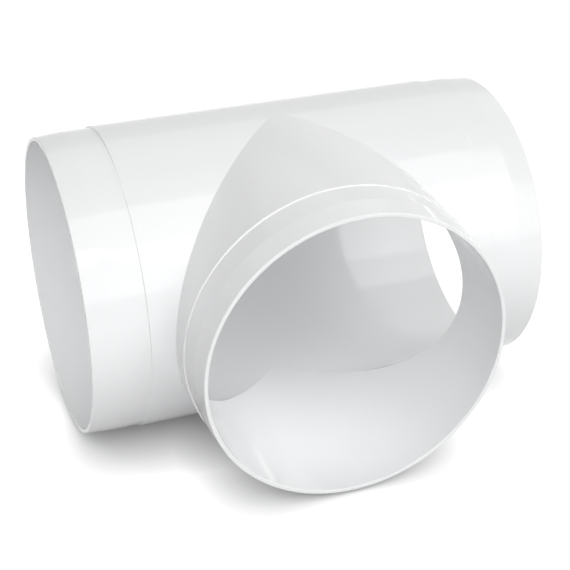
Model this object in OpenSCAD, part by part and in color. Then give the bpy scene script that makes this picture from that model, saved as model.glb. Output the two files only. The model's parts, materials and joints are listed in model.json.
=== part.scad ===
// Round duct tee: a straight run with one branch of the same size, moulded in one piece.
// The origin is where the axis of the run (X) crosses the axis of the branch (-Y).

/* [Duct] */
// Inside diameter of the round duct that slips over the spigots
duct_d = 100; // [80:1:160]
// How much smaller in diameter the spigots are, so that the duct slips on
duct_play = 0.4; // [0.2:0.1:1]
// Wall thickness of the spigots
spigot_wall = 1.9; // [1.7:0.1:4]
// Height of the shoulder that stops the end of the duct
shoulder_h = 0.5; // [0.3:0.1:2]

/* [Body] */
// Length of full round body between the saddle and each shoulder
collar_len = 7.7; // [4:0.1:40]

/* [Spigots] */
// Length of the two spigots on the run, from shoulder to rim
run_spigot_len = 18.5; // [15:0.5:60]
// Length of the spigot on the branch, from shoulder to rim
branch_spigot_len = 17.5; // [15:0.5:60]
// Length of the taper that leads each spigot into its duct
lead_in_len = 8.5; // [4:0.5:12]
// How far the taper brings the spigot's radius in at the rim
lead_in_drop = 0.6; // [0.3:0.1:0.9]
// Radius of the rounded edges, outside and inside, at each rim
rim_edge_r = 0.3; // [0.1:0.05:0.35]

/* [Hidden] */
$fn = 180;
moulded_white = [0.94, 0.945, 0.95];

spigot_r = (duct_d - duct_play) / 2;
body_r = spigot_r + shoulder_h;
bore_r = spigot_r - spigot_wall;
rim_r = spigot_r - lead_in_drop;

// From the crossing of the axes to the shoulders and to the rims
shoulder_at = body_r + collar_len;
run_rim_at = shoulder_at + run_spigot_len;
branch_rim_at = shoulder_at + branch_spigot_len;

// Radii at which the two round edges of a rim meet its flat end
outer_arc_r = rim_r - rim_edge_r;
inner_arc_r = bore_r + rim_edge_r;

// The cutters run this far past the rims
overrun = 1;

module tee_body() {
  color(moulded_white)
    difference() {
      union() {
        along_run() cylinder(r = body_r, h = 2 * shoulder_at, center = true);
        along_branch() cylinder(r = body_r, h = shoulder_at);
        at_run_ends() spigot(run_spigot_len);
        at_branch_end() spigot(branch_spigot_len);
      }
      along_run() cylinder(r = bore_r, h = 2 * run_rim_at, center = true);
      along_branch() cylinder(r = bore_r, h = branch_rim_at);
      at_run_ends() mouth(run_spigot_len);
      at_branch_end() mouth(branch_spigot_len);
    }
}

// Outside of a spigot, standing on its shoulder: straight, then tapered to a rounded rim
module spigot(len) {
  rotate_extrude() {
    polygon([
      [0, 0],
      [spigot_r, 0],
      [spigot_r, len - lead_in_len],
      [rim_r, len - rim_edge_r],
      [outer_arc_r, len - rim_edge_r],
      [outer_arc_r, len],
      [0, len]
    ]);
    translate([outer_arc_r, len - rim_edge_r]) circle(r = rim_edge_r);
  }
}

// Cutter that opens a spigot's rim and rounds its inner edge
module mouth(len) {
  rotate_extrude()
    difference() {
      translate([0, len - rim_edge_r]) square([inner_arc_r, rim_edge_r + overrun]);
      translate([inner_arc_r, len - rim_edge_r]) circle(r = rim_edge_r);
    }
}

// Turns Z to lie along the run
module along_run() {
  rotate([0, 90, 0]) children();
}

// Turns Z to lie along the branch, which points to -Y
module along_branch() {
  rotate([90, 0, 0]) children();
}

// Stands a copy on each of the run's two shoulders
module at_run_ends() {
  for (turn = [-90, 90])
    rotate([0, turn, 0]) translate([0, 0, shoulder_at]) children();
}

// Stands it on the branch's shoulder
module at_branch_end() {
  along_branch() translate([0, 0, shoulder_at]) children();
}

tee_body();
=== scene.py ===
import json
from math import cos, pi, radians, sin, tan

import bmesh
import bpy
from bpy.props import FloatProperty, FloatVectorProperty, IntProperty, PointerProperty
from bpy.types import Operator, Panel, PropertyGroup
from mathutils import Matrix, Vector


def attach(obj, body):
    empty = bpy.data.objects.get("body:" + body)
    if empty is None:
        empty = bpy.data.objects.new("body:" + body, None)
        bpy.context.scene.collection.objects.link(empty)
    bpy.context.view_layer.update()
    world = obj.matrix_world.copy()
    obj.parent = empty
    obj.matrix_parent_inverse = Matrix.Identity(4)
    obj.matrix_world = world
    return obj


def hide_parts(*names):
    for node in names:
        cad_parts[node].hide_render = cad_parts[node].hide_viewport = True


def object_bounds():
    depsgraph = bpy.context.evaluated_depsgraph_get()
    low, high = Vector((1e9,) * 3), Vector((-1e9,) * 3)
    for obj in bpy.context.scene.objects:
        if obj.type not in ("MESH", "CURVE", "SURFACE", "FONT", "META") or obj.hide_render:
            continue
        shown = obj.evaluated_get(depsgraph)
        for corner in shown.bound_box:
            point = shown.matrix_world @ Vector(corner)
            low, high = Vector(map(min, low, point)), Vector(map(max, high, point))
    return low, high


bl_info = {
    "name": "Round Duct Tee",
    "version": (1, 0, 0),
    "blender": (4, 5, 0),
    "location": "3D View > Sidebar > Duct Tee",
    "description": "Builds a moulded duct tee, its white plastic and the studio it lies in",
    "category": "Add Mesh",
}

# Everything is in metres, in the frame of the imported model: the axis of the run is X,
# the branch points to -Y, and the origin is where the two axes cross.
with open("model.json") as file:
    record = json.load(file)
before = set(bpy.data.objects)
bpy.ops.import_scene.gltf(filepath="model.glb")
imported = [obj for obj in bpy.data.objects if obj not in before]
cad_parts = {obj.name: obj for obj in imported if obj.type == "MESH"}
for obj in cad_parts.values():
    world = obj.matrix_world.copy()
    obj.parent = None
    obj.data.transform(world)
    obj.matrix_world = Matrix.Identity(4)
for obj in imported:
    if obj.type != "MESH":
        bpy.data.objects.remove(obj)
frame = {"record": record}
CAD_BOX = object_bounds()
MOUNTS = {mount["name"]: mount for mount in frame["record"]["mounts"]}
PLASTIC = frame["record"]["materials"][0]

MM = 0.001
RUN_PIN = MOUNTS["run_spigot_right"]
BRANCH_PIN = MOUNTS["branch_spigot"]


# Settings -------------------------------------------------------------------------------


def length(name, description, default, **more):
    """A property that holds a length in metres."""
    return FloatProperty(
        name=name,
        description=description,
        default=default,
        min=0,
        precision=5,
        unit="LENGTH",
        **more,
    )


class TeeSizes(PropertyGroup):
    """Sizes of the moulded tee."""

    body_radius: length("Body radius", "Outside radius up to the shoulders", CAD_BOX[1].z)
    spigot_radius: length(
        "Spigot radius", "Outside radius of the straight spigots", RUN_PIN["dims"]["r_mm"] * MM
    )
    bore_radius: length(
        "Bore radius", "Inside radius of run and branch", MOUNTS["run_bore"]["dims"]["r_mm"] * MM
    )
    rim_drop: length("Lead-in", "How far the taper brings the spigot in at its rim", 0.62 * MM)
    shoulder_at: length(
        "Shoulder", "From the crossing of the axes to each shoulder", RUN_PIN["pos_m"][0]
    )
    run_rim_at: length(
        "Run rim", "From the crossing of the axes to the run's two rims", CAD_BOX[1].x
    )
    branch_rim_at: length(
        "Branch rim", "From the crossing of the axes to the branch's rim", -CAD_BOX[0].y
    )
    run_straight: length(
        "Run straight", "Straight length of a run spigot", RUN_PIN["dims"]["length_mm"] * MM
    )
    branch_straight: length(
        "Branch straight",
        "Straight length of the branch spigot",
        BRANCH_PIN["dims"]["length_mm"] * MM,
    )
    rim_edge: length("Rim edge", "Radius of the rounded edges of each rim", 0.3 * MM)
    shoulder_edge: length("Shoulder edge", "Radius of the edge of each shoulder", 0.12 * MM)
    shoulder_root: length("Shoulder root", "Radius of the fillet at a shoulder's foot", 0.1 * MM)
    taper_edge: length("Taper edge", "Radius of the edge where a lead-in taper starts", 3 * MM)
    saddle_fillet: length(
        "Saddle fillet", "Radius of the fillet outside, where run and branch meet", 0.1 * MM
    )
    saddle_edge: length(
        "Saddle edge", "Radius of the edge inside, where the two bores meet", 0.06 * MM
    )
    half_turn_steps: IntProperty(
        name="Steps",
        description="Faces in half a turn round each tube",
        default=160,
        min=12,
        max=256,
    )


class PlasticFinish(PropertyGroup):
    """Colour and gloss of the moulded plastic."""

    colour: FloatVectorProperty(
        name="Colour",
        description="Colour of the plastic",
        subtype="COLOR",
        size=3,
        default=PLASTIC["base_color"],
    )
    shade: FloatProperty(
        name="Shade",
        description="Factor on the colour in the plastic's faint cloudy patches",
        default=0.985,
    )
    roughness: FloatProperty(
        name="Roughness", description="Roughness of the polished skin", default=0.075
    )
    roughness_spread: FloatProperty(
        name="Roughness spread",
        description="How much the roughness varies over the skin",
        default=0.03,
    )
    peel_size: length("Peel size", "Distance between the dimples of the polished skin", 1.2 * MM)
    peel_depth: length("Peel depth", "Depth of the dimples of the polished skin", 0.0004 * MM)
    flow_size: length("Flow size", "Distance between the slow waves that cooling leaves", 30 * MM)
    flow_depth: length("Flow depth", "Depth of the slow waves that cooling leaves", 0.006 * MM)


class StudioLook(PropertyGroup):
    """Floor, light and white surroundings."""

    floor_colour: FloatVectorProperty(
        name="Floor",
        description="Colour of the floor",
        subtype="COLOR",
        size=3,
        default=(0.55, 0.55, 0.555),
    )
    floor_half_width: length("Floor half width", "From the middle of the floor to its edge", 1.2)
    glow: FloatProperty(
        name="Glow", description="White added to the floor where it is seen directly", default=0.75
    )
    # Reach of the painted shadow: over this distance, ambient occlusion takes the floor's glow
    # away close to the tee.
    painted_shadow_reach: length(
        "Shadow reach", "How far from the tee its shadow takes away from the glow", 20 * MM
    )
    fill: FloatProperty(
        name="Fill", description="Strength of the light from all round", default=0.0
    )
    key: FloatProperty(name="Key", description="Factor on the strength of all lamps", default=1.0)


# Meshes ---------------------------------------------------------------------------------


def arc(corner, before, after, radius, steps=4):
    """Points that round a corner of a profile, between its neighbours before and after."""
    corner, before, after = Vector(corner), Vector(before), Vector(after)
    back = (before - corner).normalized()
    on = (after - corner).normalized()
    half = back.angle(on) / 2
    centre = corner + (back + on).normalized() * (radius / sin(half))
    start = corner + back * (radius / tan(half)) - centre
    turn = pi - 2 * half
    if back.cross(on) > 0:
        turn = -turn
    return [centre + Matrix.Rotation(turn * i / steps, 2) @ start for i in range(steps + 1)]


def leg_profile(sizes, rim_at, straight):
    """(along, radius) points of a leg, from its shoulder over the rim to the bore."""
    corners = [
        (0, sizes.body_radius, 0),
        (sizes.shoulder_at, sizes.body_radius, sizes.shoulder_edge),
        (sizes.shoulder_at, sizes.spigot_radius, sizes.shoulder_root),
        (sizes.shoulder_at + straight, sizes.spigot_radius, sizes.taper_edge),
        (rim_at, sizes.spigot_radius - sizes.rim_drop, sizes.rim_edge),
        (rim_at, sizes.bore_radius, sizes.rim_edge),
        (0, sizes.bore_radius, 0),
    ]
    profile = []
    for before, corner, after in zip(corners, corners[1:], corners[2:]):
        profile += arc(corner[:2], before[:2], after[:2], corner[2])
    return [tuple(point) for point in profile]


# Places of the rings between a saddle and the shoulder or rim, as shares of the way
WAY = (0.04, 0.2, 0.4, 0.6, 0.8, 0.96)


def saddle_bend(half_width, run_end, branch_end, radius, steps=4):
    """(across, out) points of a level cut from the run, round the saddle, to the branch."""
    start = half_width + radius
    bend = [
        (start - radius * sin(pi / 2 * i / steps), start - radius * cos(pi / 2 * i / steps))
        for i in range(steps + 1)
    ]
    on_run = [(start + (run_end - start) * share, half_width) for share in reversed(WAY)]
    on_branch = [(half_width, start + (branch_end - start) * share) for share in WAY]
    return on_run + bend + on_branch


def branch_wall(sizes, run_leg, branch_leg, side, turn):
    """Closed cut through the wall between a run spigot and the branch, at one height."""
    level, rise = cos(turn), sin(turn)
    # Both roundings vanish at the crown, where the two tubes are level with each other
    outside = saddle_bend(
        sizes.body_radius * level, run_leg[0][0], branch_leg[0][0], sizes.saddle_fillet * level
    )
    inside = saddle_bend(
        sizes.bore_radius * level, run_leg[-1][0], branch_leg[-1][0], sizes.saddle_edge * level
    )
    return (
        [(side * along, -radius * level, radius * rise) for along, radius in reversed(run_leg)]
        + [(side * across, -out, sizes.body_radius * rise) for across, out in outside]
        + [(side * radius * level, -along, radius * rise) for along, radius in branch_leg]
        + [(side * across, -out, sizes.bore_radius * rise) for across, out in reversed(inside)]
    )


def back_wall(sizes, run_leg, turn):
    """Closed cut through the wall of the run away from the branch, at one height."""
    level, rise = cos(turn), sin(turn)
    shares = [-share for share in reversed(WAY)] + [0] + list(WAY)
    outside = [(run_leg[0][0] * share, sizes.body_radius) for share in shares]
    inside = [(run_leg[-1][0] * share, sizes.bore_radius) for share in reversed(shares)]
    left = [(-along, radius) for along, radius in reversed(run_leg)]
    section = left + outside + list(run_leg) + inside
    return [(along, radius * level, radius * rise) for along, radius in section]


def sweep(mesh, sections):
    """Skins the closed sections, each joined to the next."""
    rows = [[mesh.verts.new(point) for point in section] for section in sections]
    for row, following in zip(rows, rows[1:]):
        for i in range(len(row)):
            mesh.faces.new((row[i - 1], row[i], following[i], following[i - 1]))


def tee_mesh(sizes):
    """The whole tee: three walls, each swept from its lowest line to its highest."""
    run_leg = leg_profile(sizes, sizes.run_rim_at, sizes.run_straight)
    branch_leg = leg_profile(sizes, sizes.branch_rim_at, sizes.branch_straight)
    steps = sizes.half_turn_steps
    turns = [pi * (i / steps - 0.5) for i in range(steps + 1)]
    mesh = bmesh.new()
    for side in (-1, 1):
        sweep(mesh, [branch_wall(sizes, run_leg, branch_leg, side, turn) for turn in turns])
    sweep(mesh, [back_wall(sizes, run_leg, turn) for turn in turns])
    # The walls share the lines along the top and the bottom, and meet in a point at the crown
    bmesh.ops.remove_doubles(mesh, verts=mesh.verts, dist=0.001 * MM)
    bmesh.ops.dissolve_degenerate(mesh, edges=mesh.edges, dist=0.001 * MM)
    bmesh.ops.recalc_face_normals(mesh, faces=mesh.faces)
    for face in mesh.faces:
        face.smooth = True
    return mesh


def new_object(name, mesh, material):
    """Links a mesh made with bmesh into the scene as an object of one material."""
    data = bpy.data.meshes.new(name)
    mesh.to_mesh(data)
    mesh.free()
    data.materials.append(material)
    made = bpy.data.objects.new(name, data)
    bpy.context.scene.collection.objects.link(made)
    return made


# Materials ------------------------------------------------------------------------------


def add_node(tree, kind, inputs=None, **settings):
    """Adds a node, sets its properties, and sets or links its inputs."""
    node = tree.nodes.new(kind)
    for name, value in settings.items():
        setattr(node, name, value)
    for name, value in (inputs or {}).items():
        if isinstance(value, bpy.types.NodeSocket):
            tree.links.new(value, node.inputs[name])
        else:
            node.inputs[name].default_value = value
    return node


def noise(tree, place, size, detail=2.0):
    """Noise whose lumps are about size metres apart, as a value from 0 to 1."""
    return add_node(
        tree, "ShaderNodeTexNoise", {"Vector": place, "Scale": 1 / size, "Detail": detail}
    ).outputs["Fac"]


def moulded_plastic(finish):
    """White plastic with a polished, very slightly dimpled skin."""
    material = bpy.data.materials.new("moulded_plastic")
    material.use_nodes = True
    tree = material.node_tree
    shader = tree.nodes["Principled BSDF"]
    shader.inputs["IOR"].default_value = 1.5
    place = add_node(tree, "ShaderNodeTexCoord").outputs["Object"]

    clouds = noise(tree, place, 40 * MM, 3.0)
    colour = (*finish.colour, 1)
    shaded = (*(channel * finish.shade for channel in finish.colour), 1)
    tint = add_node(tree, "ShaderNodeMix", {"Factor": clouds}, data_type="RGBA")
    sockets = {socket.identifier: socket for socket in (*tint.inputs, *tint.outputs)}
    sockets["A_Color"].default_value = shaded
    sockets["B_Color"].default_value = colour
    tree.links.new(sockets["Result_Color"], shader.inputs["Base Color"])

    patches = noise(tree, place, 12 * MM, 4.0)
    gloss = add_node(
        tree,
        "ShaderNodeMapRange",
        {
            "Value": patches,
            "From Min": 0.3,
            "From Max": 0.7,
            "To Min": finish.roughness - finish.roughness_spread / 2,
            "To Max": finish.roughness + finish.roughness_spread / 2,
        },
    )
    tree.links.new(gloss.outputs["Result"], shader.inputs["Roughness"])

    peel = noise(tree, place, finish.peel_size, 1.0)
    flow = noise(tree, place, finish.flow_size, 0.0)
    waves = add_node(
        tree, "ShaderNodeBump", {"Strength": 1.0, "Distance": finish.flow_depth, "Height": flow}
    )
    dimples = add_node(
        tree,
        "ShaderNodeBump",
        {
            "Strength": 1.0,
            "Distance": finish.peel_depth,
            "Height": peel,
            "Normal": waves.outputs["Normal"],
        },
    )
    tree.links.new(dimples.outputs["Normal"], shader.inputs["Normal"])
    return material


def seen_directly(tree):
    """1 for rays from the camera, from gloss and through glass, 0 for light that is scattered."""
    path = add_node(tree, "ShaderNodeLightPath").outputs
    gloss = add_node(tree, "ShaderNodeMath", operation="MAXIMUM")
    tree.links.new(path["Is Camera Ray"], gloss.inputs[0])
    tree.links.new(path["Is Glossy Ray"], gloss.inputs[1])
    glass = add_node(tree, "ShaderNodeMath", operation="MAXIMUM")
    tree.links.new(gloss.outputs[0], glass.inputs[0])
    tree.links.new(path["Is Transmission Ray"], glass.inputs[1])
    return glass.outputs[0]


def floor_paint(look):
    """Pale matt floor that looks white; its soft shadow close to what lies on it is partly real
    shadow from the lamps and partly painted shadow, where ambient occlusion takes away its glow.
    """
    material = bpy.data.materials.new("studio_floor")
    material.use_nodes = True
    tree = material.node_tree
    tree.nodes.remove(tree.nodes["Principled BSDF"])
    matt = add_node(tree, "ShaderNodeBsdfDiffuse", {"Color": (*look.floor_colour, 1)})
    # Painted shadow: ambient occlusion fades the white glow close to the tee, which darkens the
    # floor there both as seen and as reflected in the plastic.
    painted_shadow_ao = add_node(tree, "ShaderNodeAmbientOcclusion", {"Distance": look.painted_shadow_reach})
    white = add_node(
        tree, "ShaderNodeMapRange", {"Value": painted_shadow_ao.outputs["AO"], "To Max": look.glow}
    )
    seen = add_node(tree, "ShaderNodeMath", operation="MULTIPLY")
    tree.links.new(white.outputs["Result"], seen.inputs[0])
    tree.links.new(seen_directly(tree), seen.inputs[1])
    glow = add_node(tree, "ShaderNodeEmission", {"Strength": seen.outputs[0]})
    both = add_node(tree, "ShaderNodeAddShader")
    tree.links.new(matt.outputs[0], both.inputs[0])
    tree.links.new(glow.outputs[0], both.inputs[1])
    tree.links.new(both.outputs[0], tree.nodes["Material Output"].inputs["Surface"])
    return material


# Studio ---------------------------------------------------------------------------------

# Softboxes: name, azimuth and elevation in degrees, width and height, brightness.
# Azimuth 0 is in front of the branch and 90 is beyond the right end of the run.
SOFTBOXES = (
    # A broad soft key from the front: the run's front turns almost white, its underside greys
    ("front_key", 10, 45, 1.4, 1.6, 1.4),
    ("front_left", -30, 30, 1.0, 1.2, 2.0),
    # Lights the branch's floor and, past the branch, the right of the back wall
    ("front_right", 30, 25, 0.7, 1.1, 1.3),
    # Small bright boxes that reach into the run through its two ends
    ("right_end", 115, 20, 0.7, 0.9, 4.0),
    ("left_end", 240, 30, 0.5, 0.5, 3.0),
    # A faint strip that lifts the back and the top line of the run
    ("back_top", 180, 50, 3.0, 0.8, 0.4),
)
SOFTBOX_DISTANCE = 1.3


def direction(azimuth, elevation):
    """Unit vector towards an azimuth and elevation given in degrees."""
    azimuth, elevation = radians(azimuth), radians(elevation)
    return Vector((sin(azimuth) * cos(elevation), -cos(azimuth) * cos(elevation), sin(elevation)))


def add_softbox(name, azimuth, elevation, width, height, brightness):
    """A rectangular lamp that faces the origin. A brightness of 1 looks white."""
    lamp = bpy.data.lights.new(name, "AREA")
    lamp.shape = "RECTANGLE"
    lamp.size, lamp.size_y = width, height
    lamp.energy = brightness * width * height * pi
    box = bpy.data.objects.new(name, lamp)
    bpy.context.scene.collection.objects.link(box)
    back = direction(azimuth, elevation)
    box.location = back * SOFTBOX_DISTANCE
    box.rotation_mode = "QUATERNION"
    box.rotation_quaternion = back.to_track_quat("Z", "Y")
    box.visible_camera = False
    return box


def white_surroundings(look):
    """World that looks white and gives only the fill light."""
    world = bpy.data.worlds.new("surroundings")
    world.use_nodes = True
    tree = world.node_tree
    strength = add_node(tree, "ShaderNodeMapRange", {"To Min": look.fill, "To Max": 1.0})
    tree.links.new(seen_directly(tree), strength.inputs["Value"])
    background = tree.nodes["Background"]
    background.inputs["Color"].default_value = (1, 1, 1, 1)
    tree.links.new(strength.outputs["Result"], background.inputs["Strength"])
    return world


def add_camera():
    """The camera at the viewing angle of the reference picture, placed for a frame of 570 by 570.
    """
    azimuth, elevation, roll = -20.27, 30.118, 0.12
    distance, across, above = 480.3 * MM, 3.4 * MM, -12.8 * MM
    back = direction(azimuth, elevation)
    right = Vector((cos(radians(azimuth)), sin(radians(azimuth)), 0))
    turn = Matrix.Rotation(radians(roll), 3, back)
    right = turn @ right
    up = back.cross(right)
    data = bpy.data.cameras.new("camera")
    data.lens = 87.78
    data.clip_start = 10 * MM
    camera = bpy.data.objects.new("camera", data)
    bpy.context.scene.collection.objects.link(camera)
    place = Matrix.Translation(back * distance + right * across + up * above)
    camera.matrix_world = place @ Matrix((right, up, back)).transposed().to_4x4()
    bpy.context.scene.camera = camera


# Operators and panel --------------------------------------------------------------------


class DUCTTEE_OT_mould_body(Operator):
    """Mould the tee in one piece, in white plastic"""

    bl_idname = "duct_tee.mould_body"
    bl_label = "Mould Tee Body"

    def execute(self, context):
        body = new_object(
            "moulded_tee",
            tee_mesh(context.scene.tee_sizes),
            moulded_plastic(context.scene.plastic_finish),
        )
        modifier = body.modifiers.new("even_shading", "WEIGHTED_NORMAL")
        modifier.keep_sharp = True
        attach(body, "root")
        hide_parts("tee_body")
        return {"FINISHED"}


class DUCTTEE_OT_set_stage(Operator):
    """Lay the floor, hang the lamps and set up the camera"""

    bl_idname = "duct_tee.set_stage"
    bl_label = "Set Stage"

    def execute(self, context):
        look = context.scene.studio_look
        half, low = look.floor_half_width, CAD_BOX[0].z
        mesh = bmesh.new()
        square = ((-half, -half), (half, -half), (half, half), (-half, half))
        mesh.faces.new([mesh.verts.new((x, y, low)) for x, y in square])
        new_object("floor", mesh, floor_paint(look))
        for *place, brightness in SOFTBOXES:
            add_softbox(*place, brightness * look.key)
        context.scene.world = white_surroundings(look)
        context.scene.view_settings.view_transform = "Standard"
        add_camera()
        return {"FINISHED"}


class VIEW3D_PT_duct_tee(Panel):
    """Sidebar panel that lists the sizes, the finish, the studio and the steps"""

    bl_label = "Duct Tee"
    bl_idname = "VIEW3D_PT_duct_tee"
    bl_space_type = "VIEW_3D"
    bl_region_type = "UI"
    bl_category = "Duct Tee"

    def draw(self, context):
        for operator, group in (
            (DUCTTEE_OT_mould_body, context.scene.tee_sizes),
            (DUCTTEE_OT_mould_body, context.scene.plastic_finish),
            (DUCTTEE_OT_set_stage, context.scene.studio_look),
        ):
            box = self.layout.box()
            for name in group.bl_rna.properties.keys():
                if name not in {"rna_type", "name"}:
                    box.prop(group, name)
            box.operator(operator.bl_idname)


CLASSES = (
    TeeSizes,
    PlasticFinish,
    StudioLook,
    DUCTTEE_OT_mould_body,
    DUCTTEE_OT_set_stage,
    VIEW3D_PT_duct_tee,
)


def register():
    for cls in CLASSES:
        bpy.utils.register_class(cls)
    bpy.types.Scene.tee_sizes = PointerProperty(type=TeeSizes)
    bpy.types.Scene.plastic_finish = PointerProperty(type=PlasticFinish)
    bpy.types.Scene.studio_look = PointerProperty(type=StudioLook)


def unregister():
    del bpy.types.Scene.tee_sizes, bpy.types.Scene.plastic_finish, bpy.types.Scene.studio_look
    for cls in reversed(CLASSES):
        bpy.utils.unregister_class(cls)


def main():
    register()
    bpy.ops.duct_tee.mould_body()
    bpy.ops.duct_tee.set_stage()


if __name__ == "__main__":
    main()
